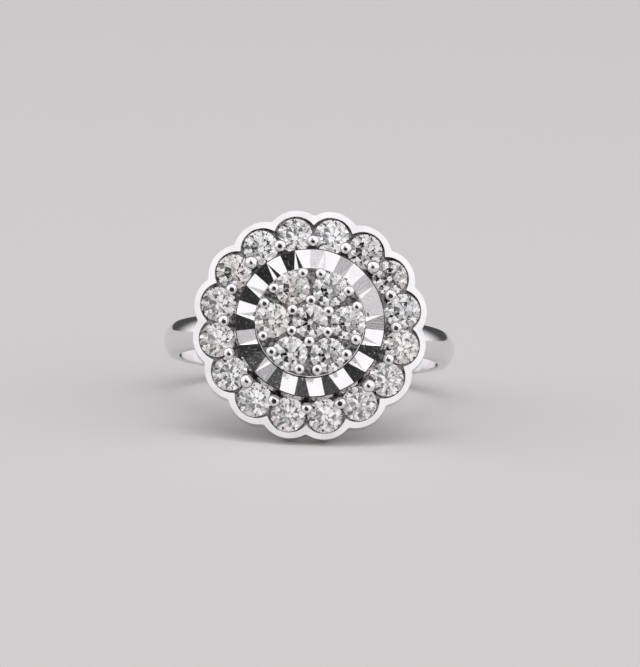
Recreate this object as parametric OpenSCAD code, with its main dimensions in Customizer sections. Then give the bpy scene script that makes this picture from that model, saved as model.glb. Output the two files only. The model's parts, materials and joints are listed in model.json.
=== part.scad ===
// Daisy cluster ring in white gold, millimetres.
// The head is drawn facing +Z over the finger hole, whose axis is Y, and the whole ring is then laid on its side.

/* [Band] */
// Inside diameter of the finger hole
finger_d = 17.3; // [16.5:0.1:19]
// Thickness of the band at its crown
band_t = 1.1; // [1:0.05:1.4]
// Thickness of the band at its edges
band_edge_t = 0.65; // [0.5:0.05:0.8]
// Width of the band under the head
band_w = 2.2; // [2:0.1:2.8]
// Width of the band at the back
band_back_w = 1.9; // [1.7:0.1:2.1]

/* [Head] */
// Radius of the ring of petal centres
petal_ring_r = 5.535; // [5.5:0.01:5.6]
// Radius of the outside of one petal
petal_r = 2.08; // [2:0.01:2.15]
// Height of the head over its width
oval = 0.98; // [0.97:0.005:1]
// Height of the rim above the finger hole
rim_rise = 3.1; // [3:0.1:4]
// Depth of the scalloped block from the rim down
block_h = 1.55; // [1.5:0.05:1.8]
// Depth of the trough that holds the halo stones
trough_h = 0.55; // [0.5:0.05:0.65]
// Radius of one petal of the trough
trough_petal_r = 1.445; // [1.43:0.005:1.46]
// Radius of the ring of trough petal centres
trough_ring_r = 5.81; // [5.8:0.01:5.83]
// Radius of the boss that carries the middle
boss_r = 4.75; // [4.6:0.05:4.75]

/* [Gallery] */
// Outside radius of the gallery cup where it meets the block
cup_top_r = 5.5; // [5.2:0.1:5.8]
// Outside radius of the gallery cup at its foot
cup_foot_r = 4.5; // [4.3:0.1:4.8]
// Wall of the gallery cup
cup_wall = 0.7; // [0.6:0.05:0.9]
// Gap between the foot of the cup and the finger
cup_relief = 0.3; // [0.2:0.05:0.4]

/* [Stones] */
// Diameter of every round brilliant
stone_d = 2.25; // [2.2:0.01:2.27]
// Radius of the ring of halo stones
halo_ring_r = 6.07; // [6.05:0.01:6.09]
// Depth of the halo girdles below the rim
halo_girdle_drop = 0.4; // [0.38:0.01:0.45]
// Radius of the ring of cluster stones
cluster_ring_r = 2.44; // [2.42:0.01:2.46]
// Height of the cluster girdles above the rim
cluster_girdle_rise = 1.66; // [1.6:0.01:1.7]
// Extra height of the centre stone
centre_lift = 0.25; // [0.1:0.05:0.3]
// Clearance round each stone in its seat
seat_gap = 0.03; // [0.02:0.01:0.04]

/* [Beads] */
// Radius of the ring of halo beads
halo_bead_ring_r = 5.55; // [5.5:0.01:5.6]
// Radius of a halo bead
halo_bead_r = 0.31; // [0.28:0.01:0.34]
// Height of a halo bead's middle above the rim
halo_bead_rise = 0.28; // [0.2:0.02:0.4]
// Radius of the four big corner beads
corner_bead_r = 0.4; // [0.36:0.01:0.42]
// Height of a corner bead's middle above the rim
corner_bead_rise = 0.42; // [0.3:0.02:0.5]
// Radius of the ring of outer cluster beads
outer_bead_ring_r = 3.15; // [3.1:0.01:3.2]
// Half the angle between the two beads of a pair
outer_bead_spread = 10.4; // [10:0.1:11]
// Radius of a cluster bead
cluster_bead_r = 0.28; // [0.25:0.01:0.3]
// Height of an outer cluster bead's middle above the rim
outer_bead_rise = 1.92; // [1.85:0.01:2]
// Radius of the ring of inner cluster beads
inner_bead_ring_r = 1.33; // [1.3:0.01:1.36]
// Height of an inner cluster bead's middle above the rim
inner_bead_rise = 2.12; // [2.05:0.01:2.2]

/* [Mirror ring] */
// Radius of the mirror ring's upper edge
mirror_r = 4.8; // [4.75:0.01:4.85]
// Radius of the mirror ring's foot
mirror_foot_r = 4.95; // [4.85:0.01:5]
// Height of the mirror ring's upper edge above the rim
mirror_rise = 1.2; // [1.1:0.05:1.25]
// Number of cut rays
mirror_rays = 15; // [12:1:18]
// Turn of the mirror ring on the head, in degrees
mirror_turn = 8; // [0:1:24]
// Depth of the valleys between two rays
mirror_valley = 0.2; // [0.1:0.02:0.24]
// Depth of the notch down the middle of a ray
mirror_notch = 0.16; // [0.1:0.02:0.2]
// Share of a ray's inner half width that the notch takes
mirror_notch_share = 0.6; // [0.5:0.05:0.7]

/* [Centre setting] */
// Radius of the round plate
plate_r = 3.5; // [3.45:0.01:3.55]
// Height of the plate's face above the rim
plate_rise = 1.52; // [1.45:0.01:1.55]
// Radius of the spigot under the plate
spigot_r = 2.6; // [2.5:0.05:2.7]
// Depth of the spigot below the rim
spigot_drop = 0.9; // [0.6:0.1:1.1]

/* [Hidden] */
$fn = 64;
PETALS = 16;
CLUSTER = 6;
HALO_NAMES = [for (k = [1:PETALS]) str("halo_stone_", k)];
CLUSTER_NAMES = [for (k = [1:CLUSTER]) str("cluster_stone_", k)];

gold = "gainsboro";
mirror_gold = "whitesmoke";
diamond = "aliceblue";

joint_gap = 0.05; // between metal pieces that are not soldered
eps = 0.01;

// Rim level and what hangs from it
finger_r = finger_d / 2;
rim_z = finger_r + rim_rise;
block_z = rim_z - block_h;
petal_step = 360 / PETALS;
petal_angle0 = petal_step / 2;

// The band's crown is a torus that passes the crown line and both edges
band_outer_r = finger_r + band_t;
band_drop = band_t - band_edge_t;
crown_r = (pow(band_w / 2, 2) + pow(band_drop, 2)) / (2 * band_drop);
crown_ring_r = band_outer_r - crown_r;
band_slope = (band_w - band_back_w) / 2 / (2 * band_outer_r);

// Proportions of a round brilliant, as shares of its diameter
table_share = 0.57;
crown_share = 0.158;
girdle_share = 0.03;
pavilion_share = 0.43;
lower_half_share = 0.77;
azure_r = 0.5; // light hole under a stone

// The ring lies on its two lowest petals and on the edge of the band's back
lowest_petal = petal_ring_r * oval * cos(petal_angle0) + petal_r;
back_edge_y = band_back_w / 2;
back_edge_r = crown_ring_r + sqrt(pow(crown_r, 2) - pow(back_edge_y, 2));
lie_angle = atan((lowest_petal - back_edge_y) / (block_z + back_edge_r));
floor_h = lowest_petal * cos(lie_angle) - block_z * sin(lie_angle);
front_reach = outer_bead_ring_r * cos(outer_bead_spread) * sin(lie_angle)
    + (rim_z + outer_bead_rise) * cos(lie_angle) + cluster_bead_r;
back_reach = crown_ring_r * cos(lie_angle) + crown_r;
origin_shift = (front_reach - back_reach) / 2;

echo(lie_angle = lie_angle, bore_y = origin_shift, bore_z = floor_h, rim_z = rim_z);
echo(front = front_reach, back = back_reach, half_width = band_outer_r, lowest_petal = lowest_petal);

// Lays the ring on its side on the plane z = 0, head towards -Y
module laid() {
    translate([0, origin_shift, floor_h]) rotate([90 - lie_angle, 0, 0]) children();
}

function on_oval(r, angle) = [r * cos(angle), r * oval * sin(angle)];
function on_circle(r, angle) = [r * cos(angle), r * sin(angle)];
function petal_angle(k) = petal_angle0 + k * petal_step;

// Outer point of a star facet, where the kite beside it lies flat
function star_r(r) = r * (table_share * cos(22.5) + 1) / 2;
function star_z(r) = 2 * crown_share * (r - star_r(r) * cos(22.5)) / (1 - table_share);

// Round brilliant with its girdle's upper edge at z = 0: table, 8 stars, 8 kites, 16 upper and 16 lower
// girdle facets and 8 pavilion mains
module brilliant(d) {
    r = d / 2;
    crown = crown_share * d;
    girdle = girdle_share * d;
    pavilion = pavilion_share * d;
    table_r = table_share * r;
    star_r = star_r(r);
    star_z = star_z(r);
    lower_r = r * (1 - lower_half_share);
    lower_z = -girdle - pavilion * (1 - lower_r * cos(22.5) / r);
    points = concat(
        [for (i = [0:7]) concat(on_circle(table_r, 45 * i), crown)],
        [for (i = [0:7]) concat(on_circle(star_r, 45 * i + 22.5), star_z)],
        [for (i = [0:15]) concat(on_circle(r, 22.5 * i), 0)],
        [for (i = [0:15]) concat(on_circle(r, 22.5 * i), -girdle)],
        [for (i = [0:7]) concat(on_circle(lower_r, 45 * i + 22.5), lower_z)],
        [[0, 0, -girdle - pavilion]]
    );
    star = 8;
    top = 16;
    bottom = 32;
    lower = 48;
    culet = 56;
    faces = concat(
        [[for (i = [7:-1:0]) i]],
        [for (i = [0:7]) [i, (i + 1) % 8, star + i]],
        [for (i = [0:7]) [i, star + i, top + 2 * i, star + (i + 7) % 8]],
        [for (i = [0:7]) [star + i, top + 2 * i + 1, top + 2 * i]],
        [for (i = [0:7]) [star + i, top + (2 * i + 2) % 16, top + 2 * i + 1]],
        [for (i = [0:15]) [top + i, top + (i + 1) % 16, bottom + (i + 1) % 16, bottom + i]],
        [for (i = [0:7]) [lower + i, bottom + 2 * i, bottom + 2 * i + 1]],
        [for (i = [0:7]) [lower + i, bottom + 2 * i + 1, bottom + (2 * i + 2) % 16]],
        [for (i = [0:7]) [culet, lower + (i + 7) % 8, bottom + 2 * i, lower + i]]
    );
    polyhedron(points, faces, convexity = 4);
}

// Space that a stone needs in the metal, with the light hole under it
module seat(d, hole_h) {
    r = d / 2;
    girdle = girdle_share * d;
    culet_z = -girdle - pavilion_share * d - 1.5 * seat_gap;
    top_z = crown_share * d + seat_gap;
    rotate_extrude() polygon([
        [0, culet_z],
        [r + seat_gap, -girdle - seat_gap / 2],
        [r + seat_gap, seat_gap / 2],
        [star_r(r) + seat_gap, star_z(r) + seat_gap],
        [table_share * r + seat_gap, top_z],
        [0, top_z]
    ]);
    translate([0, 0, -hole_h]) cylinder(r = azure_r, h = hole_h - girdle);
}

module at_halo(k, z) {
    translate(concat(on_oval(halo_ring_r, petal_angle(k)), z)) rotate(petal_angle(k)) children();
}

module at_cluster(k, z) {
    translate(concat(on_circle(cluster_ring_r, k * 60), z)) rotate(k * 60) children();
}

// Bead prong: a stem with a round head a little wider than the stem
module bead(r, foot_z, middle_z) {
    translate([0, 0, foot_z]) cylinder(r = 0.88 * r, h = middle_z - foot_z);
    translate([0, 0, middle_z]) sphere(r = r);
}

halo_girdle_z = rim_z - halo_girdle_drop;
cluster_girdle_z = rim_z + cluster_girdle_rise;
centre_girdle_z = cluster_girdle_z + centre_lift;

// Half-round band, a little narrower at the back
module band() {
    difference() {
        intersection() {
            rotate([90, 0, 0]) rotate_extrude() translate([crown_ring_r, 0]) circle(r = crown_r);
            band_sides();
        }
        rotate([90, 0, 0]) cylinder(r = finger_r, h = 2 * band_w, center = true);
    }
}

// Block between the two flat sides of the band
module band_sides() {
    reach = band_outer_r + 1;
    front = band_w / 2 + band_slope * (reach - band_outer_r);
    back = band_back_w / 2 - band_slope * (reach - band_outer_r);
    rotate([90, 0, 90]) translate([0, 0, -reach]) linear_extrude(2 * reach)
        polygon([[-front, reach], [front, reach], [back, -reach], [-back, -reach]]);
}

// Cup that carries the head on the band, its foot curved to clear the finger
module gallery() {
    top = block_z + 0.2;
    foot = finger_r - 1.65;
    difference() {
        rotate_extrude() polygon([
            [cup_foot_r, foot],
            [cup_top_r, top],
            [cup_top_r - cup_wall, top],
            [cup_foot_r - cup_wall, foot]
        ]);
        rotate([90, 0, 0]) cylinder(r = finger_r + cup_relief, h = 4 * cup_top_r, center = true);
    }
}

// Scalloped block with the trough for the halo stones
module halo_block() {
    difference() {
        union() {
            for (k = [0:PETALS - 1])
                translate(concat(on_oval(petal_ring_r, petal_angle(k)), block_z)) cylinder(r = petal_r, h = block_h);
            translate([0, 0, block_z]) cylinder(r = petal_ring_r, h = block_h);
        }
        difference() {
            union() {
                for (k = [0:PETALS - 1])
                    translate(concat(on_oval(trough_ring_r, petal_angle(k)), rim_z - trough_h))
                        cylinder(r = trough_petal_r, h = trough_h + eps);
                translate([0, 0, rim_z - trough_h]) cylinder(r = boss_r + 0.8, h = trough_h + eps);
            }
            translate([0, 0, rim_z - trough_h - eps]) cylinder(r = boss_r, h = trough_h + 3 * eps);
        }
        translate([0, 0, rim_z - joint_gap]) cylinder(r = boss_r + 0.1, h = 1);
        translate([0, 0, block_z - eps]) cylinder(r = spigot_r + joint_gap, h = block_h + 2 * eps);
    }
}

module halo_beads() {
    for (k = [0:PETALS - 1]) {
        corner = k % 4 == 2;
        translate(on_oval(halo_bead_ring_r, k * petal_step))
            if (corner)
                bead(corner_bead_r, rim_z - trough_h - 0.1, rim_z + corner_bead_rise);
            else
                bead(halo_bead_r, rim_z - trough_h - 0.1, rim_z + halo_bead_rise);
    }
}

module mount() {
    color(gold) laid() difference() {
        union() {
            band();
            gallery();
            halo_block();
            halo_beads();
        }
        for (k = [0:PETALS - 1])
            at_halo(k, halo_girdle_z) seat(stone_d, block_h);
    }
}

// Height at [x, y] of the plane through three points
function plane_z(a, b, c, p) =
    let (n = cross(b - a, c - a)) a[2] - (n[0] * (p[0] - a[0]) + n[1] * (p[1] - a[1])) / n[2];

// Ring of bright-cut rays. Each ray has two wide facets that fall to the valleys beside it, and a notch
// down its middle that starts at a point on the outer edge and widens towards the plate.
module mirror_ring() {
    inner_r = plate_r + joint_gap;
    step = 360 / mirror_rays;
    half = step / 2;
    edge_z = rim_z + mirror_rise;
    foot_z = rim_z;
    valley_out_z = edge_z - mirror_valley;
    valley_in_z = valley_out_z + 0.02;
    function out_point(a, z) = concat(on_circle(mirror_r, a), z);
    function in_point(a, z) = concat(on_circle(inner_r, a), z);
    // One half ray, from the peak line at angle 0 to the valley at half a step
    peak = out_point(0, edge_z);
    valley_out = out_point(half, valley_out_z);
    valley_in = in_point(half, valley_in_z);
    shoulder_a = half * mirror_notch_share;
    mid_xy = on_circle(mirror_r, half / 2);
    shoulder_xy = on_circle(inner_r, shoulder_a);
    mid_z = plane_z(peak, valley_out, valley_in, mid_xy);
    shoulder_z = plane_z(peak, valley_out, valley_in, shoulder_xy);
    notch_z = shoulder_z - mirror_notch;
    // Rings of points, four to a ray: peak, half way, valley, half way
    outer = [for (i = [0:mirror_rays - 1]) each [
        out_point(i * step, edge_z), out_point(i * step + half / 2, mid_z),
        out_point(i * step + half, valley_out_z), out_point(i * step + 1.5 * half, mid_z)
    ]];
    inner = [for (i = [0:mirror_rays - 1]) each [
        in_point(i * step, notch_z), in_point(i * step + shoulder_a, shoulder_z),
        in_point(i * step + half, valley_in_z), in_point((i + 1) * step - shoulder_a, shoulder_z)
    ]];
    count = 4 * mirror_rays;
    outer_foot = [for (i = [0:count - 1]) concat(on_circle(mirror_foot_r, i * 360 / count), foot_z)];
    bore_r = spigot_r + joint_gap;
    inner_foot = [for (p = inner) concat(on_circle(bore_r, atan2(p[1], p[0])), foot_z)];
    step_z = rim_z + mirror_rise - 0.75;
    inner_low = [for (p = inner) [p[0], p[1], step_z]];
    inner_bore = [for (p = inner_foot) [p[0], p[1], step_z]];
    o = 0;
    n = count;
    l = 2 * count;
    b = 3 * count;
    f = 4 * count;
    g = 5 * count;
    function next(i) = (i + 1) % count;
    faces = concat(
        [for (i = [0:4:count - 1]) let (j = next(i + 3)) each [
            [o + i, n + i, n + i + 1],
            [o + i, n + i + 1, n + i + 2, o + i + 2, o + i + 1],
            [o + j, o + i + 3, o + i + 2, n + i + 2, n + i + 3],
            [o + j, n + i + 3, n + j]
        ]],
        [for (i = [0:count - 1]) [n + i, l + i, l + next(i), n + next(i)]],
        [for (i = [0:count - 1]) [l + i, b + i, b + next(i), l + next(i)]],
        [for (i = [0:count - 1]) [b + i, f + i, f + next(i), b + next(i)]],
        [for (i = [0:count - 1]) [f + i, g + i, g + next(i), f + next(i)]],
        [for (i = [0:count - 1]) [g + i, o + i, o + next(i), g + next(i)]]
    );
    color(mirror_gold) laid() rotate(mirror_turn)
        polyhedron(concat(outer, inner, inner_low, inner_bore, inner_foot, outer_foot), faces, convexity = 6);
}

// Round plate that carries the seven middle stones, with a spigot through the mirror ring
module centre_setting() {
    plate_h = 0.95;
    face_z = rim_z + plate_rise;
    foot_z = rim_z - spigot_drop;
    color(gold) laid() difference() {
        union() {
            translate([0, 0, face_z - plate_h]) cylinder(r = plate_r, h = plate_h);
            translate([0, 0, foot_z]) cylinder(r = spigot_r, h = face_z - foot_z - plate_h + eps);
            translate([0, 0, face_z - eps]) cylinder(r = inner_bead_ring_r - 0.05, h = centre_lift + eps);
            for (k = [0:CLUSTER - 1]) {
                translate(on_circle(inner_bead_ring_r, 30 + 60 * k))
                    bead(cluster_bead_r, face_z - 0.2, rim_z + inner_bead_rise);
                for (side = [-1, 1])
                    translate(on_circle(outer_bead_ring_r, 30 + 60 * k + side * outer_bead_spread))
                        bead(cluster_bead_r, face_z - 0.2, rim_z + outer_bead_rise);
            }
        }
        translate([0, 0, foot_z - eps]) cylinder(r = spigot_r - 0.5, h = spigot_drop + 0.4);
        translate([0, 0, centre_girdle_z]) seat(stone_d, 1.8);
        for (k = [0:CLUSTER - 1])
            at_cluster(k, cluster_girdle_z) seat(stone_d, 1.2);
    }
}

module halo_stone(k) {
    color(diamond) laid() at_halo(k, halo_girdle_z) brilliant(stone_d);
}

module cluster_stone(k) {
    color(diamond) laid() at_cluster(k, cluster_girdle_z) brilliant(stone_d);
}

module centre_stone() {
    color(diamond) laid() translate([0, 0, centre_girdle_z]) brilliant(stone_d);
}

mount();
mirror_ring();
centre_setting();
for (k = [0:PETALS - 1])
    halo_stone(k);
for (k = [0:CLUSTER - 1])
    cluster_stone(k);
centre_stone();
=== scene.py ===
import bpy
import bmesh
import json
import math
import random
from mathutils import Matrix, Vector


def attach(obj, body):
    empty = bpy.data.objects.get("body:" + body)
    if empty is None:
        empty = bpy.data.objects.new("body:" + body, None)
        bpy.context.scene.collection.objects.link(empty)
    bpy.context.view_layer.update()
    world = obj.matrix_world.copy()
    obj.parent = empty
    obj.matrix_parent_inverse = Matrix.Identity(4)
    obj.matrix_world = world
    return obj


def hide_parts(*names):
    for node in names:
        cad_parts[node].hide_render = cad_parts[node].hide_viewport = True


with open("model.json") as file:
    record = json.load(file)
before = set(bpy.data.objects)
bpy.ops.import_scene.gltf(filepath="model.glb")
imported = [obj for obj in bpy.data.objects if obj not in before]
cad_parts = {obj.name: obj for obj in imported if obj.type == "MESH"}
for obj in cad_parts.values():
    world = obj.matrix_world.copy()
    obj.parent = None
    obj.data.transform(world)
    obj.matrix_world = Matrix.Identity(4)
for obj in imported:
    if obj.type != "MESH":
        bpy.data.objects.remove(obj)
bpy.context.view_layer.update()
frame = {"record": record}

mm = 0.001  # one millimetre in the frame's metres
finger = frame["record"]["mounts"][0]
fingerR = finger["dims"]["r_mm"]

# Pieces are drawn in millimetres with the head facing +Z over the finger hole, then laid on their side
fingerAxis = Vector(finger["axis"])
laid = (Matrix.Translation(finger["pos_m"])
        @ Matrix.Rotation(math.atan2(fingerAxis.z, fingerAxis.y), 4, "X")
        @ Matrix.Scale(mm, 4))

head = {
    "rimZ": 11.75,  # rim level over the finger hole's axis
    "oval": 0.98,  # height of the head over its width
    "petals": 16,
    "stoneD": 2.25,
    "haloR": 6.07,  # ring of halo stones
    "haloDrop": 0.4,  # their girdles below the rim
    "clusterR": 2.44,  # ring of cluster stones
    "clusterRise": 1.66,  # their girdles above the rim
    "clusterStones": 6,
    "centreLift": 0.25,  # the centre stone above the cluster stones
}

joining = {
    "weld": 0.0005,  # corners nearer than this, in mm, become one
    "sharpFrom": 38,  # edges are sharp from this many degrees on
    "flatSharpFrom": 5,  # the same beside a level face or a facet of more than four corners
    "level": 0.9999,  # a face whose normal rises this much is level
    "near": 0.01,  # faces and edges are picked within this many mm of a place
    "cutNear": 1e-5,  # corners this near to a cut are taken to be on it
    "bridgeDrop": 100,
}


# Points, loops and faces

def onCircle(radius, degrees, z=0.0):
    turn = math.radians(degrees)
    return Vector((radius * math.cos(turn), radius * math.sin(turn), z))


def onOval(radius, degrees, z=0.0):
    spot = onCircle(radius, degrees, z)
    spot.y *= head["oval"]
    return spot


def petalAngle(k):
    return (k + 0.5) * 360 / head["petals"]


def clusterAngle(k):
    return k * 360 / head["clusterStones"]


def addLoop(bm, points):
    verts = [bm.verts.new(p) for p in points]
    return [bm.edges.new((a, b)) for a, b in zip(verts, verts[1:] + verts[:1])]


def circle(bm, radius, z, steps, centre=Vector()):
    return addLoop(bm, [centre + onCircle(radius, 360 * i / steps, z) for i in range(steps)])


def fillFlat(bm, *loops):
    edges = [e for loop in loops for e in loop]
    bmesh.ops.triangle_fill(bm, use_beauty=True, edges=edges)


def bridge(bm, *loops):
    for a, b in zip(loops, loops[1:]):
        far = {v for e in b for v in e.verts}
        for v in far:  # set far down while they are joined, as level loops can be joined askew
            v.co.z -= joining["bridgeDrop"]
        bmesh.ops.bridge_loops(bm, edges=a + b)
        for v in far:
            v.co.z += joining["bridgeDrop"]


def edgesIn(geom):
    return [g for g in geom if isinstance(g, bmesh.types.BMEdge)]


def once(parts):
    return list(dict.fromkeys(parts))  # a set's order would change from run to run


def extrudeTo(bm, loop, place):
    # Extrudes a loop of edges and puts each new corner where place says
    loop = edgesIn(bmesh.ops.extrude_edge_only(bm, edges=loop)["geom"])
    for v in {v for e in loop for v in e.verts}:
        v.co = place(v.co)
    return loop


def atRadius(p, radius, z):
    ring = p.xy.normalized() * radius
    return Vector((ring.x, ring.y, z))


def finishPiece(bm, name, material, nodes, sharpFrom=joining["sharpFrom"], shadedAndDulled=None):
    bmesh.ops.remove_doubles(bm, verts=bm.verts[:], dist=joining["weld"])
    bmesh.ops.recalc_face_normals(bm, faces=bm.faces[:])
    shadeAndDullness = bm.faces.layers.float.new("shadeAndDullness")  # 0 where a face is bright or clear, 1 at the darkest: painted shade and a dull finish in the metal's recesses, a stone's own grey tone
    for face in bm.faces:
        face.smooth = True
        face[shadeAndDullness] = shadedAndDulled(face.calc_center_median()) if shadedAndDulled else 0
    bm.normal_update()
    for edge in bm.edges:
        flat = any(abs(face.normal.z) > joining["level"] or len(face.verts) > 4 for face in edge.link_faces)
        sharp = joining["flatSharpFrom"] if flat else sharpFrom
        edge.smooth = edge.calc_face_angle(math.pi) < math.radians(sharp)
    bm.transform(laid)
    mesh = bpy.data.meshes.new(name)
    bm.to_mesh(mesh)
    bm.free()
    piece = bpy.data.objects.new(name, mesh)
    bpy.context.scene.collection.objects.link(piece)
    mesh.materials.append(material)
    normals = piece.modifiers.new("Weighted normals", "WEIGHTED_NORMAL")
    normals.keep_sharp = True
    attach(piece, "root")
    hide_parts(*nodes)
    print("made", name, len(mesh.polygons), "faces")
    return piece


# Materials

def linear(hexColour):
    channels = [int(hexColour[i:i + 2], 16) / 255 for i in (1, 3, 5)]
    return [c / 12.92 if c <= 0.04045 else ((c + 0.055) / 1.055) ** 2.4 for c in channels] + [1.0]


def addNode(tree, kind, settings={}, links={}):
    node = tree.nodes.new(kind)
    for name, value in settings.items():
        if isinstance(name, str) and hasattr(node, name):
            setattr(node, name, value)
        else:
            node.inputs[name].default_value = value
    for name, socket in links.items():
        tree.links.new(socket, node.inputs[name])
    return node


def newMaterial(name, look):
    material = bpy.data.materials.new(name)
    material.use_nodes = True
    tree = material.node_tree
    tree.nodes.clear()
    shader = addNode(tree, "ShaderNodeBsdfPrincipled", look)
    addNode(tree, "ShaderNodeOutputMaterial", links={"Surface": shader.outputs[0]})
    return material, tree, shader


def noise(tree, size, detail, place):
    # Cloudy noise with blotches of about this many mm
    settings = {"Scale": 1 / (size * mm), "Detail": detail}
    return addNode(tree, "ShaderNodeTexNoise", settings, {"Vector": place}).outputs["Fac"]


def stretched(tree, place, stroke):
    # Turns and stretches the place, so that noise on it is drawn out into strokes
    return addNode(tree, "ShaderNodeMapping", stroke, {"Vector": place}).outputs[0]


def remap(tree, value, span, result=(0.0, 1.0), kind="LINEAR"):
    settings = {"interpolation_type": kind, "From Min": span[0], "From Max": span[1],
                "To Min": result[0], "To Max": result[1]}
    return addNode(tree, "ShaderNodeMapRange", settings, {"Value": value}).outputs[0]


def mixColours(tree, share, first, second):
    # Each of the two is a hex colour or the output of another node
    settings, links = {"data_type": "RGBA"}, {0: share}
    for socket, colour in ((6, first), (7, second)):
        if isinstance(colour, str):
            settings[socket] = linear(colour)
        else:
            links[socket] = colour
    return addNode(tree, "ShaderNodeMix", settings, links).outputs[2]


def bump(tree, depth, height, **under):
    settings = {"Strength": 1.0, "Distance": depth * mm}
    return addNode(tree, "ShaderNodeBump", settings, {"Height": height, **under}).outputs[0]


def objectPlace(tree):
    return addNode(tree, "ShaderNodeTexCoord").outputs["Object"]


def faceShadeAndDullness(tree):
    return addNode(tree, "ShaderNodeAttribute", {"attribute_name": "shadeAndDullness"}).outputs["Fac"]


gold = {
    "colour": "#F2F0F1",
    "wornColour": "#E8E6E7",
    # Painted shade: the recesses between the stones are darkened to these colours, with specks of grime
    "shadedRecessColour": "#4A4745",
    "shadedRecessPale": "#A5A19F",
    "recessRoughness": 0.27,
    "grime": 0.26,  # size in mm of the specks of polishing compound left between the stones
    "grimeSpan": (0.38, 0.62),  # noise from the recess's dark colour to its pale one
    "castDepth": 0.02,  # depth in mm of the cast skin there
    "patch": 1.6,  # size in mm of the patches that differ a little in polish
    "patchSpan": (0.35, 0.7),  # noise from the smoothest to the roughest patch
    "roughness": (0.05, 0.13),
    "hairline": 0.09,  # width in mm of a mop hairline, drawn three times as wide as a real one
    "hairStroke": {"Rotation": (0.3, 0.2, 0.9), "Scale": (1.0, 0.06, 1.0)},
    "hairDepth": 0.00012,  # depth in mm
}


def polishedGold():
    # Cast 18 carat white gold, mop polished and rhodium plated: a cool near-white mirror, its
    # reflections a little softened in patches and broken by faint hairlines. Between the stones it is
    # painted a dark brownish grey with specks of grime: painted shade over a dull, rough finish
    material, tree, shader = newMaterial("rhodium plated white gold", {"Metallic": 1.0})
    place = objectPlace(tree)
    shadedRecess = faceShadeAndDullness(tree)
    patch = noise(tree, gold["patch"], 3.0, place)
    polish = remap(tree, patch, gold["patchSpan"], gold["roughness"])
    tint = mixColours(tree, patch, gold["colour"], gold["wornColour"])
    grime = noise(tree, gold["grime"], 3.0, place)
    specks = remap(tree, grime, gold["grimeSpan"])
    # Painted shade in the recesses, mottled by the grime specks
    shadedGrime = mixColours(tree, specks, gold["shadedRecessColour"], gold["shadedRecessPale"])
    tree.links.new(mixColours(tree, shadedRecess, tint, shadedGrime), shader.inputs["Base Color"])
    rough = addNode(tree, "ShaderNodeMix", {3: gold["recessRoughness"]}, {0: shadedRecess, 2: polish})
    tree.links.new(rough.outputs[0], shader.inputs["Roughness"])
    lines = noise(tree, gold["hairline"], 2.0, stretched(tree, place, gold["hairStroke"]))
    hairs = bump(tree, gold["hairDepth"], lines)
    castSkin = addNode(tree, "ShaderNodeMath", {"operation": "MULTIPLY"}, {0: grime, 1: shadedRecess})
    relief = bump(tree, gold["castDepth"], castSkin.outputs[0], Normal=hairs)
    tree.links.new(relief, shader.inputs["Normal"])
    return material


mirror = {
    "colour": "#F8F6F7",
    "patch": 0.7,  # size in mm of the patches that differ a little in colour
    "cutLine": 0.1,  # width in mm of the chatter marks the graver leaves, some twice the real width
    "cutStroke": {"Rotation": (0.5, 0.1, 0.4), "Scale": (1.0, 0.35, 1.0)},
    "cutSpan": (0.5, 0.7),  # noise from a clean cut to the roughest mark
    "cutDepth": 0.0026,  # depth in mm
    "roughness": (0.03, 0.24),
}


def mirrorCut():
    # White gold cut with a polished graver: flat mirrors with faint lines along each stroke
    material, tree, shader = newMaterial("bright cut white gold", {"Metallic": 1.0})
    place = objectPlace(tree)
    shadedRecess = faceShadeAndDullness(tree)
    patch = noise(tree, mirror["patch"], 2.0, place)
    lines = noise(tree, mirror["cutLine"], 2.0, stretched(tree, place, mirror["cutStroke"]))
    tint = mixColours(tree, patch, mirror["colour"], gold["wornColour"])
    # Painted shade: the chamfer and walls are darkened towards the recess colour
    tree.links.new(mixColours(tree, shadedRecess, tint, gold["shadedRecessColour"]), shader.inputs["Base Color"])
    cut = remap(tree, lines, mirror["cutSpan"], mirror["roughness"])
    rough = addNode(tree, "ShaderNodeMix", {3: gold["recessRoughness"]}, {0: shadedRecess, 2: cut})
    tree.links.new(rough.outputs[0], shader.inputs["Roughness"])
    tree.links.new(bump(tree, mirror["cutDepth"], lines), shader.inputs["Normal"])
    return material


brilliance = {
    "glass": {"IOR": 2.417, "Transmission Weight": 1.0, "Roughness": 0.0},
    "clear": "#FFFFFF",
    "warm": "#F3EADF",
    "greyer": "#E4E2E3",
    "patch": 2.5,  # size in mm, so that neighbouring stones differ in warmth
    "warmSpan": (0.4, 0.75),  # noise from a clear stone to a warm one
}


def diamond():
    # Colourless to faintly warm brilliant, wheel polished: sharp high index glass
    material, tree, shader = newMaterial("polished diamond", brilliance["glass"])
    warmth = remap(tree, noise(tree, brilliance["patch"], 2.0, objectPlace(tree)), brilliance["warmSpan"])
    tint = mixColours(tree, warmth, brilliance["clear"], brilliance["warm"])
    colour = mixColours(tree, faceShadeAndDullness(tree), tint, brilliance["greyer"])
    tree.links.new(colour, shader.inputs["Base Color"])
    return material


goldMaterial = polishedGold()
mirrorMaterial = mirrorCut()
diamondMaterial = diamond()
print("materials made")


# Band

band = {
    "thickness": 1.1,
    "edge": 0.65,  # thickness at its two edges
    "width": 2.2,
    "backWidth": 1.9,
    "rounding": 0.1,
    "roundSteps": 4,
    "crownSteps": 12,
    "turnSteps": 192,
}


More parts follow.
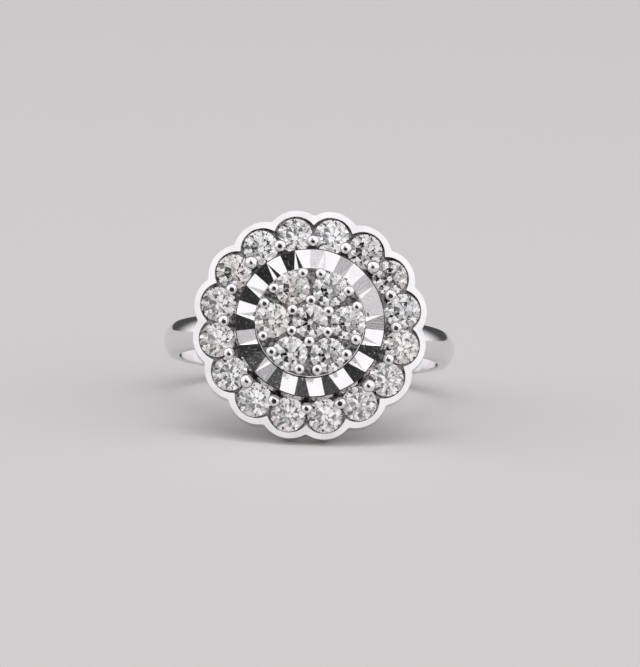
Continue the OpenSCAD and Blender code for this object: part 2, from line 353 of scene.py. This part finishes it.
def makeBand():
    bm = bmesh.new()
    half = band["width"] / 2
    drop = band["thickness"] - band["edge"]
    crownR = (half ** 2 + drop ** 2) / (2 * drop)
    crownX = fingerR + band["thickness"] - crownR
    reach = math.asin(half / crownR)
    turns = [reach * (2 * i / band["crownSteps"] - 1) for i in range(band["crownSteps"] + 1)]
    section = [Vector((crownX + crownR * math.cos(t), crownR * math.sin(t), 0)) for t in turns]
    section += [Vector((fingerR, half, 0)), Vector((fingerR, -half, 0))]
    face = bm.faces.new([bm.verts.new(p) for p in section])
    corners = [v for v in face.verts if abs(abs(v.co.y) - half) < joining["near"]]
    bmesh.ops.bevel(bm, geom=corners, affect="VERTICES", offset=band["rounding"],
                    segments=band["roundSteps"], profile=0.5, material=-1)
    bmesh.ops.delete(bm, geom=bm.faces[:], context="FACES_ONLY")
    bmesh.ops.spin(bm, geom=bm.verts[:] + bm.edges[:], cent=(0, 0, 0), axis=(0, 1, 0), angle=math.tau,
                   steps=band["turnSteps"], use_merge=True)
    outer = fingerR + band["thickness"]
    backShare = band["backWidth"] / band["width"]
    for v in bm.verts:  # the head's side keeps its full width
        v.co.y *= backShare + (1 - backShare) * (v.co.z + outer) / (2 * outer)
    return finishPiece(bm, "band", goldMaterial, ["mount"])


# Gallery cup under the head

gallery = {
    "topR": 5.5,
    "footR": 4.5,
    "wall": 0.7,
    "relief": 0.3,  # gap between its foot and the finger
    "topZ": 10.3,
    "footDrop": 1.65,  # footR is measured this far below the finger hole's top
    "slopeOver": 0.1,  # and its slope is reckoned to this far above topZ
    "rounding": 0.08,
    "roundSteps": 3,
    "rimAngle": 0.8,  # in radians: sharper edges of the foot are rounded
    "footMiddle": 4.3,  # edges of the foot that cross this radius stay sharp
    "steps": 128,
}


def makeGallery():
    bm = bmesh.new()
    footZ = fingerR - gallery["footDrop"]
    slope = (gallery["topR"] - gallery["footR"]) / (gallery["topZ"] + gallery["slopeOver"] - footZ)
    outerFoot = circle(bm, gallery["footR"], footZ, gallery["steps"])
    outerTop = circle(bm, gallery["topR"], gallery["topZ"], gallery["steps"])
    innerFoot = circle(bm, gallery["footR"] - gallery["wall"], footZ, gallery["steps"])
    innerTop = circle(bm, gallery["topR"] - gallery["wall"], gallery["topZ"], gallery["steps"])
    bridge(bm, outerTop, outerFoot, innerFoot, innerTop)
    bridge(bm, innerTop, outerTop)
    cleared = fingerR + gallery["relief"]
    for v in bm.verts:  # the foot follows the cylinder that clears the finger
        if v.co.z < footZ + joining["near"]:
            foot = v.co.copy()
            for _ in range(8):  # settles on the line where the sloping wall meets the cylinder
                z = math.sqrt(cleared ** 2 - v.co.x ** 2)
                wide = foot.xy.length + slope * (z - footZ)
                v.co = Vector((*(foot.xy.normalized() * wide), z))
    feet = [e for e in bm.edges
            if all(abs(math.hypot(v.co.x, v.co.z) - cleared) < joining["near"] for v in e.verts)
            and len({v.co.xy.length > gallery["footMiddle"] for v in e.verts}) == 1]
    rims = [e for e in feet if e.calc_face_angle(0) > gallery["rimAngle"]]
    bmesh.ops.bevel(bm, geom=rims, affect="EDGES", offset=gallery["rounding"],
                    segments=gallery["roundSteps"], profile=0.5, material=-1)
    return finishPiece(bm, "gallery", goldMaterial, ["mount"])


# Scalloped halo setting

halo = {
    "petalRing": 5.535,
    "petalR": 2.08,
    "notchFillet": 0.16,
    "troughRing": 5.81,
    "troughR": 1.445,
    "cuspFillet": 0.05,
    "blockH": 1.55,
    "troughH": 0.55,
    "bossR": 4.75,
    "bossDrop": 0.05,
    "boreR": 2.65,
    "pitR": 1.077,  # radius of a stone's seat at the trough floor
    "holeTopDrop": 1.05,  # where the seat's cone meets the light hole
    "holeR": 0.5,
    "seatReach": 7,  # the seats' walls lie within this radius and the outer wall beyond it
    "shadeRise": 0.3,  # they are painted shaded and dull from this far above the bottom
    "outerRound": 0.018,
    "innerRound": 0.012,
    "roundSteps": 3,
    "arcSteps": 14,
    "filletSteps": 4,
    "seatSteps": 48,
    "boreSteps": 96,
    "bossSteps": 128,
}


def scallop(bm, ringR, petalR, fillet, z):
    # Arcs of sixteen petals, their notches rounded by a fillet
    petals = head["petals"]
    centres = [onOval(ringR, petalAngle(k)) for k in range(petals)]
    notches = []
    for k in range(petals):
        a, b = centres[k], centres[(k + 1) % petals]
        across = (b - a).normalized()
        outward = Vector((across.y, -across.x, 0))
        notches.append((a + b) / 2 + outward * math.sqrt((petalR + fillet) ** 2 - (b - a).length_squared / 4))
    points = []
    for k in range(petals):
        centre = centres[k]
        start, end = [math.atan2(*(n - centre).yx) for n in (notches[k - 1], notches[k])]
        end += math.tau * (end < start)
        for i in range(halo["arcSteps"]):
            t = start + (end - start) * i / (halo["arcSteps"] - 1)
            points.append(centre + Vector((petalR * math.cos(t), petalR * math.sin(t), 0)))
        after = centres[(k + 1) % petals]
        start, end = [math.atan2(*(c - notches[k]).yx) for c in (centre, after)]
        end -= math.tau * (end > start)
        for i in range(1, halo["filletSteps"]):
            t = start + (end - start) * i / halo["filletSteps"]
            points.append(notches[k] + Vector((fillet * math.cos(t), fillet * math.sin(t), 0)))
    return addLoop(bm, [Vector((p.x, p.y, z)) for p in points])


def quarterTurns(steps):
    return [math.radians(90 / steps * i) for i in range(steps + 1)]


def roundedWall(bm, ringR, petalR, fillet, topZ, bottomZ, topRound, bottomRound, inward):
    # Loops of a scalloped wall from its top edge's rounding to its bottom edge's
    loops = []
    for t in quarterTurns(halo["roundSteps"]):
        inset = topRound * (1 - math.sin(t)) * inward
        loops.append(scallop(bm, ringR, petalR - inset, fillet + inset, topZ - topRound * (1 - math.cos(t))))
    for t in quarterTurns(halo["roundSteps"]) if bottomRound else [0.0]:
        inset = bottomRound * (1 - math.cos(t)) * inward
        z = bottomZ + bottomRound * (1 - math.sin(t))
        loops.append(scallop(bm, ringR, petalR - inset, fillet + inset, z))
    bridge(bm, *loops)
    return loops[0], loops[-1]


def makeHaloSetting():
    bm = bmesh.new()
    rimZ = head["rimZ"]
    bottomZ = rimZ - halo["blockH"]
    troughZ = rimZ - halo["troughH"]
    bossZ = rimZ - halo["bossDrop"]
    outerTop, outerBottom = roundedWall(bm, halo["petalRing"], halo["petalR"], halo["notchFillet"], rimZ,
                                        bottomZ, halo["outerRound"], halo["outerRound"], 1)
    innerTop, innerBottom = roundedWall(bm, halo["troughRing"], halo["troughR"], halo["cuspFillet"], rimZ,
                                        troughZ, halo["innerRound"], 0, -1)
    fillFlat(bm, outerTop, innerTop)
    pits, holes = [], []
    for k in range(head["petals"]):
        spot = onOval(head["haloR"], petalAngle(k))
        pit = circle(bm, halo["pitR"], troughZ, halo["seatSteps"], spot)
        holeTop = circle(bm, halo["holeR"], rimZ - halo["holeTopDrop"], halo["seatSteps"], spot)
        holeBottom = circle(bm, halo["holeR"], bottomZ, halo["seatSteps"], spot)
        bridge(bm, pit, holeTop, holeBottom)
        pits += pit
        holes += holeBottom
    bossFoot = circle(bm, halo["bossR"], troughZ, halo["bossSteps"])
    bossTop = circle(bm, halo["bossR"], bossZ, halo["bossSteps"])
    boreTop = circle(bm, halo["boreR"], bossZ, halo["boreSteps"])
    boreBottom = circle(bm, halo["boreR"], bottomZ, halo["boreSteps"])
    fillFlat(bm, innerBottom, pits, bossFoot)
    bridge(bm, bossFoot, bossTop, boreTop, boreBottom)
    fillFlat(bm, outerBottom, holes, boreBottom)

    # Painted shade with a dull finish on the seats' walls and the trough floor
    def shadedAndDulled(p):
        inSeat = bottomZ + halo["shadeRise"] < p.z < troughZ and p.xy.length < halo["seatReach"]
        return 1 if inSeat or abs(p.z - troughZ) < joining["near"] else 0

    return finishPiece(bm, "halo_setting", goldMaterial, ["mount"], shadedAndDulled=shadedAndDulled)


# Bead prongs

beads = {
    "haloRing": 5.55,
    "haloR": 0.385,
    "haloTop": 0.59,  # top of a halo bead above the rim
    "haloDome": 0.6,  # height of a dome over its radius
    "cornerR": 0.45,
    "cornerTop": 0.82,
    "cornerDome": 0.8,
    "cornerFlat": 0.25,
    "clusterR": 0.34,
    "clusterDome": 0.62,
    "outerRing": 3.15,
    "outerSpread": 10.4,  # degrees from the middle of a pair to each bead
    "outerTop": 2.18,
    "innerRing": 1.33,
    "innerTop": 2.4,
    "neck": 0.9,  # stem radius over bead radius
    "sunk": 0.05,  # how far in mm a stem goes into the metal below
    "flat": 0.36,  # radius of the worn flat on a bead's top over the bead's radius
    "flatVary": 0.2,  # share by which a flat's radius varies
    "flatLean": 8,  # degrees that the flats lean towards the lower side
    "lean": 2,  # most that a flat strays, in degrees
    "vary": 0.04,  # share by which a bead's size varies
    "sliver": 0.003,  # shorter edges that the cut leaves are closed up
    "steps": 40,
    "seed": 21,
}


def addBead(bm, spot, radius, dome, flat, footZ, topZ, dice):
    radius *= 1 + dice.uniform(-beads["vary"], beads["vary"])
    flat *= 1 + dice.uniform(-beads["flatVary"], beads["flatVary"])
    middle = Vector((spot.x, spot.y, topZ - dome * radius))
    ball = bmesh.ops.create_uvsphere(bm, u_segments=beads["steps"], v_segments=beads["steps"] // 2,
                                     radius=radius, matrix=Matrix.Translation(middle)
                                     @ Matrix.Diagonal((1, 1, dome, 1)))["verts"]
    lean = math.radians(beads["flatLean"] + dice.uniform(-beads["lean"], beads["lean"]))
    side = math.radians(dice.uniform(-beads["lean"], beads["lean"]))
    facing = Vector((math.sin(side), -math.sin(lean), math.cos(lean))).normalized()
    reach = radius * math.hypot(facing.xy.length, dome * facing.z)
    geom = ball + once(e for v in ball for e in v.link_edges) + once(f for v in ball for f in v.link_faces)
    cut = bmesh.ops.bisect_plane(bm, geom=geom, dist=joining["cutNear"], plane_no=facing, clear_outer=True,
                                 plane_co=middle + facing * reach * math.sqrt(1 - flat ** 2))
    bmesh.ops.contextual_create(bm, geom=edgesIn(cut["geom_cut"]))
    height = middle.z - footZ
    bmesh.ops.create_cone(bm, cap_ends=True, segments=beads["steps"], radius1=radius,
                          radius2=radius * beads["neck"], depth=height,
                          matrix=Matrix.Translation((spot.x, spot.y, footZ + height / 2)))
    bmesh.ops.dissolve_degenerate(bm, dist=beads["sliver"], edges=bm.edges[:])


def makeHaloBeads():
    bm = bmesh.new()
    dice = random.Random(beads["seed"])
    rimZ = head["rimZ"]
    footZ = rimZ - halo["troughH"] - beads["sunk"]
    for k in range(head["petals"]):
        spot = onOval(beads["haloRing"], k * 360 / head["petals"])
        if k % 4 == 2:  # the four corner beads
            addBead(bm, spot, beads["cornerR"], beads["cornerDome"], beads["cornerFlat"], footZ,
                    rimZ + beads["cornerTop"], dice)
        else:
            addBead(bm, spot, beads["haloR"], beads["haloDome"], beads["flat"], footZ,
                    rimZ + beads["haloTop"], dice)
    return finishPiece(bm, "halo_beads", goldMaterial, ["mount"])


# Mirror ring

rays = {
    "count": 15,
    "turn": 8,  # angle of the first ray in degrees
    "outerR": 4.76,
    "innerR": 3.59,
    "wallR": 4.82,
    "footR": 4.93,
    "edgeRise": 1.2,
    "chamfer": 0.04,
    "innerWall": 0.75,  # how far its inner wall goes down
    "valley": 0.183,
    "deeper": 0.046,  # how much deeper the cuts go on one side
    "deepAt": 20,  # angle of that side in degrees
    "notch": 0.11,
    "notchDeeper": 0.06,
    "notchDeepAt": 300,
    "notchShare": 0.38,  # width of a notch over its ray's
    "wallShade": 0.4,  # share of painted shade and dullness on the walls, where the chamfer's is 1
    "handZ": 0.018,  # how far in mm a cut strays in depth
    "handTurn": 0.5,  # and in degrees
    "sharpFrom": 3,
    "weld": 0.002,
    "cutNear": 1e-4,
    "steps": 12,
    "seed": 832,
}


def planeHeight(a, b, c, p):
    normal = (b - a).cross(c - a)
    return a.z - (normal.x * (p.x - a.x) + normal.y * (p.y - a.y)) / normal.z


def crossXY(a, b):
    return a.x * b.y - a.y * b.x


def strayZ(dice):
    return dice.uniform(-rays["handZ"], rays["handZ"])


def strayTurn(dice):
    return dice.uniform(-rays["handTurn"], rays["handTurn"])


def drawValleys(edgeZ, dice):
    # Angle, outer end and inner end of each cut between two rays
    valleys = []
    for i in range(rays["count"]):
        angle = rays["turn"] + (i - 0.5) * 360 / rays["count"] + strayTurn(dice)
        z = edgeZ - rays["valley"] - rays["deeper"] * math.cos(math.radians(angle - rays["deepAt"]))
        outerEnd = onCircle(rays["outerR"], angle, z + strayZ(dice))
        innerEnd = onCircle(rays["innerR"], angle, z + strayZ(dice))
        valleys.append((angle, outerEnd, innerEnd))
    return valleys


def addRay(bm, first, last, middle, edgeZ, dice):
    # Two wide facets that fall from the peak to the valleys, and a notch of two slim ones between them
    start, *startEnds = first
    end, *endEnds = last
    end += 360 * (end < start)
    peak = onCircle(rays["outerR"], middle, edgeZ)
    spread = 180 / rays["count"] * rays["notchShare"]
    shoulders = [onCircle(rays["innerR"], middle + side * spread) for side in (-1, 1)]
    shoulders[0].z = planeHeight(peak, *startEnds, shoulders[0])
    shoulders[1].z = planeHeight(peak, *endEnds, shoulders[1])
    notch = rays["notch"] + rays["notchDeeper"] * math.cos(math.radians(middle - rays["notchDeepAt"]))
    floor = onCircle(rays["innerR"], middle, min(s.z for s in shoulders) - notch + strayZ(dice))
    before = set(bm.faces)
    a = bm.verts.new(onCircle(rays["innerR"], start))
    b = bm.verts.new(onCircle(rays["outerR"], start))
    bmesh.ops.spin(bm, geom=[a, b, bm.edges.new((a, b))], cent=(0, 0, 0), axis=(0, 0, 1),
                   steps=rays["steps"], angle=math.radians(end - start))
    for target in (shoulders[0], floor, shoulders[1]):  # the three creases from the peak
        sector = [f for f in bm.faces if f not in before]
        along = (target - peak).xy.normalized()
        geom = once(v for f in sector for v in f.verts) + once(e for f in sector for e in f.edges) + sector
        bmesh.ops.bisect_plane(bm, geom=geom, dist=rays["cutNear"], plane_co=(peak.x, peak.y, 0),
                               plane_no=(-along.y, along.x, 0))
    sector = [f for f in bm.faces if f not in before]
    for v in once(v for f in sector for v in f.verts):
        late = crossXY(floor - peak, v.co - peak) < 0  # in the ray's second half
        beyond = crossXY(shoulders[late] - peak, v.co - peak)
        inNotch = beyond > 0 if late else beyond < 0
        ends = (shoulders[late], floor) if inNotch else endEnds if late else startEnds
        v.co.z = planeHeight(peak, *ends, v.co)


def makeMirrorRing():
    bm = bmesh.new()
    dice = random.Random(rays["seed"])
    edgeZ = head["rimZ"] + rays["edgeRise"]
    valleys = drawValleys(edgeZ, dice)
    for i in range(rays["count"]):
        middle = rays["turn"] + i * 360 / rays["count"] + strayTurn(dice)
        addRay(bm, valleys[i], valleys[(i + 1) % rays["count"]], middle, edgeZ, dice)
    bmesh.ops.remove_doubles(bm, verts=bm.verts[:], dist=rays["weld"])
    between = (rays["innerR"] + rays["outerR"]) / 2
    border = [e for e in bm.edges if e.is_boundary]
    outer = [e for e in border if e.verts[0].co.xy.length > between]
    inner = [e for e in border if e.verts[0].co.xy.length < between]
    outer = extrudeTo(bm, outer, lambda p: atRadius(p, rays["wallR"], p.z - rays["chamfer"]))
    outer = extrudeTo(bm, outer, lambda p: atRadius(p, rays["footR"], head["rimZ"]))
    inner = extrudeTo(bm, inner, lambda p: Vector((p.x, p.y, edgeZ - rays["innerWall"])))
    inner = extrudeTo(bm, inner, lambda p: atRadius(p, halo["boreR"], head["rimZ"]))
    fillFlat(bm, inner, outer)

    # Painted shade with a dull finish: full on the chamfer, part on the walls
    def shadedAndDulled(p):
        if rays["outerR"] + joining["near"] < p.xy.length < rays["wallR"]:
            return 1
        onWall = p.xy.length > rays["wallR"] or p.xy.length < rays["innerR"] - joining["near"]
        return rays["wallShade"] if onWall else 0

    return finishPiece(bm, "mirror_rays", mirrorMaterial, ["mirror_ring"],
                       rays["sharpFrom"], shadedAndDulled)


# Centre setting

plate = {
    "r": 3.53,
    "rise": 1.52,
    "thickness": 0.95,
    "edgeRound": 0.03,
    "roundSteps": 3,
    "bossR": 1.28,
    "pitR": 1.05,
    "pitDepth": 0.54,  # where the seat's cone meets the hole
    "holeR": 0.5,
    "holeEnd": 0.575,  # end of a cluster stone's hole above the rim
    "spigotR": 2.6,
    "spigotWall": 0.5,
    "spigotDrop": 0.9,
    "hollowRise": 0.4,
    "shadeInset": 0.035,  # its face is painted shaded and dull within its rounded edge
    "shadeDrop": 0.5,  # and this far down into the seats
    "seatSteps": 48,
    "bossSteps": 64,
    "spigotSteps": 96,
    "edgeSteps": 160,
}


def makeCentreSetting():
    bm = bmesh.new()
    rimZ = head["rimZ"]
    faceZ = rimZ + plate["rise"]
    underZ = faceZ - plate["thickness"]
    footZ = rimZ - plate["spigotDrop"]
    hollowZ = rimZ + plate["hollowRise"]
    bossZ = faceZ + head["centreLift"]
    hollowR = plate["spigotR"] - plate["spigotWall"]
    pits = []
    for k in range(head["clusterStones"]):
        spot = onCircle(head["clusterR"], clusterAngle(k))
        pit = circle(bm, plate["pitR"], faceZ, plate["seatSteps"], spot)
        hole = circle(bm, plate["holeR"], faceZ - plate["pitDepth"], plate["seatSteps"], spot)
        bottom = circle(bm, plate["holeR"], rimZ + plate["holeEnd"], plate["seatSteps"], spot)
        bridge(bm, pit, hole, bottom)
        fillFlat(bm, bottom)
        pits += pit
    rounding = []
    for t in quarterTurns(plate["roundSteps"]):
        inset = plate["edgeRound"] * (1 - math.sin(t))
        z = faceZ - plate["edgeRound"] * (1 - math.cos(t))
        rounding.append(circle(bm, plate["r"] - inset, z, plate["edgeSteps"]))
    bossFoot = circle(bm, plate["bossR"], faceZ, plate["bossSteps"])
    bossTop = circle(bm, plate["bossR"], bossZ, plate["bossSteps"])
    centrePit = circle(bm, plate["pitR"], bossZ, plate["bossSteps"])
    centreHole = circle(bm, plate["holeR"], bossZ - plate["pitDepth"], plate["bossSteps"])
    centreBottom = circle(bm, plate["holeR"], hollowZ, plate["bossSteps"])
    hollowTop = circle(bm, hollowR, hollowZ, plate["spigotSteps"])
    hollowFoot = circle(bm, hollowR, footZ, plate["spigotSteps"])
    spigotFoot = circle(bm, plate["spigotR"], footZ, plate["spigotSteps"])
    spigotTop = circle(bm, plate["spigotR"], underZ, plate["spigotSteps"])
    under = circle(bm, plate["r"], underZ, plate["edgeSteps"])
    fillFlat(bm, rounding[0], pits, bossFoot)
    bridge(bm, *rounding, under)
    fillFlat(bm, under, spigotTop)
    bridge(bm, bossFoot, bossTop, centrePit, centreHole, centreBottom)
    fillFlat(bm, centreBottom, hollowTop)
    bridge(bm, hollowTop, hollowFoot, spigotFoot, spigotTop)

    # Painted shade with a dull finish on the plate's face between the stones and in the seats
    def shadedAndDulled(p):
        return 1 if p.xy.length < plate["r"] - plate["shadeInset"] and p.z > faceZ - plate["shadeDrop"] else 0

    return finishPiece(bm, "centre_plate", goldMaterial, ["centre_setting"], shadedAndDulled=shadedAndDulled)


def makeCentreBeads():
    bm = bmesh.new()
    dice = random.Random(beads["seed"] + 1)
    rimZ = head["rimZ"]
    footZ = rimZ + plate["rise"] - beads["sunk"]
    for k in range(head["clusterStones"]):
        middle = clusterAngle(k + 0.5)
        addBead(bm, onCircle(beads["innerRing"], middle), beads["clusterR"], beads["clusterDome"],
                beads["flat"], footZ, rimZ + beads["innerTop"], dice)
        for side in (-1, 1):
            spot = onCircle(beads["outerRing"], middle + side * beads["outerSpread"])
            addBead(bm, spot, beads["clusterR"], beads["clusterDome"], beads["flat"], footZ,
                    rimZ + beads["outerTop"], dice)
    return finishPiece(bm, "centre_beads", goldMaterial, ["centre_setting"])


# Stones

stone = {
    "table": 0.57,  # width and heights as shares of the diameter
    "crown": 0.158,
    "girdle": 0.015,
    "pavilion": (0.42, 0.44),
    "lowerHalf": 0.7,  # how far in from the girdle the lower half facets reach, as a share of the radius
    "girdleSteps": 64,
    "sharpFrom": 1,
    "inside": Vector((0, 0, -0.2)),  # a point within any stone
    "weld": 0.003,
    "sliver": 0.002,
    "tilt": 3,  # most that a stone strays in its seat, in degrees
    "nod": 4,  # degrees that the cluster's stones lean to the lower side
    "haloNod": (-2, 3),  # the same for most halo stones and for those that nod
    "nodding": (0, 1, 2, 5, 6),  # halo stones that nod, counted from 0
    "grey": 0.4,  # most that a stone goes towards the greyer colour
    "seed": 7,
}


def cutPlane(bm, a, b, c):
    # Cuts off what lies outside the plane through three points and closes the cut with one facet
    normal = (b - a).cross(c - a).normalized()
    if normal.dot(a - stone["inside"]) < 0:
        normal.negate()
    geom = bm.verts[:] + bm.edges[:] + bm.faces[:]
    cut = bmesh.ops.bisect_plane(bm, geom=geom, dist=joining["cutNear"], plane_co=a, plane_no=normal,
                                 clear_outer=True)
    edges = edgesIn(cut["geom_cut"])
    if len(edges) > 2:
        bmesh.ops.contextual_create(bm, geom=edges)


def cutBrilliant(depthShare):
    bm = bmesh.new()
    r = head["stoneD"] / 2
    crown, girdle = stone["crown"] * head["stoneD"], stone["girdle"] * head["stoneD"]
    pavilion = depthShare * head["stoneD"]
    tableR = stone["table"] * r
    starR = r * (stone["table"] * math.cos(math.pi / 8) + 1) / 2
    starZ = crown * (r - starR * math.cos(math.pi / 8)) / (r - tableR)
    lowerR = r * (1 - stone["lowerHalf"])
    lowerZ = -girdle - pavilion * (1 - lowerR * math.cos(math.pi / 8) / r)
    culet = Vector((0, 0, -girdle - pavilion))
    depth = crown + girdle + pavilion
    bmesh.ops.create_cone(bm, cap_ends=True, segments=stone["girdleSteps"], radius1=r, radius2=r, depth=depth,
                          matrix=Matrix.Translation((0, 0, crown - depth / 2)))
    half = 22.5  # degrees from a main facet to the star facets beside it
    for i in range(8):
        main = 2 * half * i
        star = onCircle(starR, main + half, starZ)
        lower = onCircle(lowerR, main + half, lowerZ)
        lastStar = onCircle(starR, main - half, starZ)
        lastLower = onCircle(lowerR, main - half, lowerZ)
        cutPlane(bm, onCircle(r, main), star, lastStar)
        cutPlane(bm, culet, lower, lastLower)
        cutPlane(bm, onCircle(tableR, main, crown), onCircle(tableR, main + 2 * half, crown), star)
        for side in (0, half):
            tips = [onCircle(r, main + side), onCircle(r, main + side + half)]
            cutPlane(bm, star, *tips)
            cutPlane(bm, lower, *[t - Vector((0, 0, girdle)) for t in tips])
    bmesh.ops.remove_doubles(bm, verts=bm.verts[:], dist=stone["weld"])
    bmesh.ops.dissolve_degenerate(bm, edges=bm.edges[:], dist=stone["sliver"])
    return bm


def makeStones():
    dice = random.Random(stone["seed"])
    haloZ = head["rimZ"] - head["haloDrop"]
    clusterZ = head["rimZ"] + head["clusterRise"]
    seats = [(f"halo_stone_{k + 1}", onOval(head["haloR"], petalAngle(k), haloZ),
              stone["haloNod"][k in stone["nodding"]]) for k in range(head["petals"])]
    seats += [(f"cluster_stone_{k + 1}", onCircle(head["clusterR"], clusterAngle(k), clusterZ), stone["nod"])
              for k in range(head["clusterStones"])]
    seats += [("centre_stone", Vector((0, 0, clusterZ + head["centreLift"])), stone["nod"])]
    for node, spot, nod in seats:
        bm = cutBrilliant(dice.uniform(*stone["pavilion"]))
        axis = Vector((dice.uniform(-1, 1), dice.uniform(-1, 1), 0)).normalized()
        lean = Matrix.Rotation(math.radians(dice.uniform(0, stone["tilt"])), 4, axis)
        lean = lean @ Matrix.Rotation(math.radians(nod), 4, "X")
        turn = Matrix.Rotation(math.radians(dice.uniform(0, 45)), 4, "Z")
        bm.transform(Matrix.Translation(spot) @ lean @ turn)
        grey = dice.uniform(0, stone["grey"])
        finishPiece(bm, "brilliant_" + node, diamondMaterial, [node], stone["sharpFrom"],
                    lambda p: grey)


makeBand()
makeGallery()
makeHaloSetting()
makeHaloBeads()
makeMirrorRing()
makeCentreSetting()
makeCentreBeads()
makeStones()


# Floor, light and camera

card = {
    "half": 3.0,
    "look": {"Base Color": linear("#E7E5E3"), "Roughness": 0.7, "Specular IOR Level": 0.2},
}


def makeFloor():
    # Pale matt studio card
    bm = bmesh.new()
    bmesh.ops.create_grid(bm, x_segments=1, y_segments=1, size=card["half"])
    mesh = bpy.data.meshes.new("floor")
    bm.to_mesh(mesh)
    bm.free()
    floor = bpy.data.objects.new("floor", mesh)
    mesh.materials.append(newMaterial("pale studio card", card["look"])[0])
    bpy.context.scene.collection.objects.link(floor)


tent = {  # angles in degrees: azimuth 0 in front of the head and 90 to its right, then elevation
    "colour": "#F8F7FA",
    "front": 1.2,
    "back": 0.08,
    "turn": (100, 140),  # azimuths between which the front fades into the back
    "lensHole": {"middle": (-9.9, 10.6), "half": (26, 12.3), "soft": 0.3, "left": 0.03},
    "armGap": {"middle": (-15.7, 32.4), "half": (9.7, 17.6), "soft": 0.6, "left": 0.06},
}


def makeWorld():
    # A white light tent, open where the lens looks in and less lit behind the head
    world = bpy.data.worlds.new("light tent")
    bpy.context.scene.world = world
    world.use_nodes = True
    tree = world.node_tree
    tree.nodes.clear()

    def calculate(operation, *values):
        node = addNode(tree, "ShaderNodeMath", {"operation": operation})
        for i, value in enumerate(values):
            if isinstance(value, bpy.types.NodeSocket):
                tree.links.new(value, node.inputs[i])
            else:
                node.inputs[i].default_value = value
        return node.outputs[0]

    way = addNode(tree, "ShaderNodeTexCoord").outputs["Generated"]
    parts = addNode(tree, "ShaderNodeSeparateXYZ", links={0: way}).outputs
    elevation = calculate("DEGREES", calculate("ARCSINE", parts["Z"]))
    azimuth = calculate("DEGREES", calculate("ARCTAN2", parts["X"], calculate("MULTIPLY", parts["Y"], -1.0)))
    light = remap(tree, calculate("ABSOLUTE", azimuth), tent["turn"], (tent["front"], tent["back"]),
                  "SMOOTHSTEP")
    for name in ("lensHole", "armGap"):
        gap = tent[name]
        across = calculate("DIVIDE", calculate("SUBTRACT", azimuth, gap["middle"][0]), gap["half"][0])
        up = calculate("DIVIDE", calculate("SUBTRACT", elevation, gap["middle"][1]), gap["half"][1])
        reach = calculate("SQRT", calculate("ADD", calculate("POWER", calculate("ABSOLUTE", across), 2.0),
                                            calculate("POWER", calculate("ABSOLUTE", up), 2.0)))
        lit = remap(tree, reach, (1 - gap["soft"], 1 + gap["soft"]), (gap["left"], 1), "SMOOTHSTEP")
        light = calculate("MULTIPLY", light, lit)
    background = addNode(tree, "ShaderNodeBackground", {"Color": linear(tent["colour"])}, {"Strength": light})
    addNode(tree, "ShaderNodeOutputWorld", links={"Surface": background.outputs[0]})


overhead = {"height": 0.6, "size": 0.3, "light": 1.2, "lean": 12}


def makeOverhead():
    # A square lamp over the ring, leaning to the front, for the soft shadow
    lamp = bpy.data.lights.new("overhead", "AREA")
    lamp.size = overhead["size"]
    lamp.energy = overhead["light"] * math.pi * overhead["size"] ** 2
    box = bpy.data.objects.new("overhead", lamp)
    turn = Matrix.Rotation(math.radians(overhead["lean"]), 4, "X")
    box.matrix_world = turn @ Matrix.Translation((0, 0, overhead["height"]))
    bpy.context.scene.collection.objects.link(box)


photo = {
    "width": 640,
    "height": 667,
    "rimCentre": (310, 324.8),  # where the middle of the rim shows
    "distance": 0.289,
    "elevation": 11.2,
    "roll": 2.2,
    "lens": 241.8,
    "sensor": 36.0,
    "clip": (0.01, 20),
}


def makeCamera():
    lens = bpy.data.cameras.new("camera")
    lens.lens, lens.sensor_width = photo["lens"], photo["sensor"]
    lens.clip_start, lens.clip_end = photo["clip"]
    camera = bpy.data.objects.new("camera", lens)
    bpy.context.scene.collection.objects.link(camera)
    elevation = math.radians(photo["elevation"])
    back = Vector((0, -math.cos(elevation), math.sin(elevation)))
    target = laid @ Vector((0, 0, head["rimZ"]))
    pixel = photo["sensor"] / photo["height"] / photo["lens"]
    seen = Vector(((photo["rimCentre"][0] - photo["width"] / 2) * pixel,
                   (photo["height"] / 2 - photo["rimCentre"][1]) * pixel, -1))
    aim = seen.rotation_difference(Vector((0, 0, -1))).to_matrix().to_4x4()
    roll = Matrix.Rotation(math.radians(photo["roll"]), 4, "Z")
    look = (-back).to_track_quat("-Z", "Y").to_matrix().to_4x4()
    camera.matrix_world = Matrix.Translation(target + back * photo["distance"]) @ look @ roll @ aim
    bpy.context.scene.camera = camera


makeFloor()
makeWorld()
makeOverhead()
makeCamera()
bpy.context.scene.view_settings.view_transform = "Standard"
print("stage set")
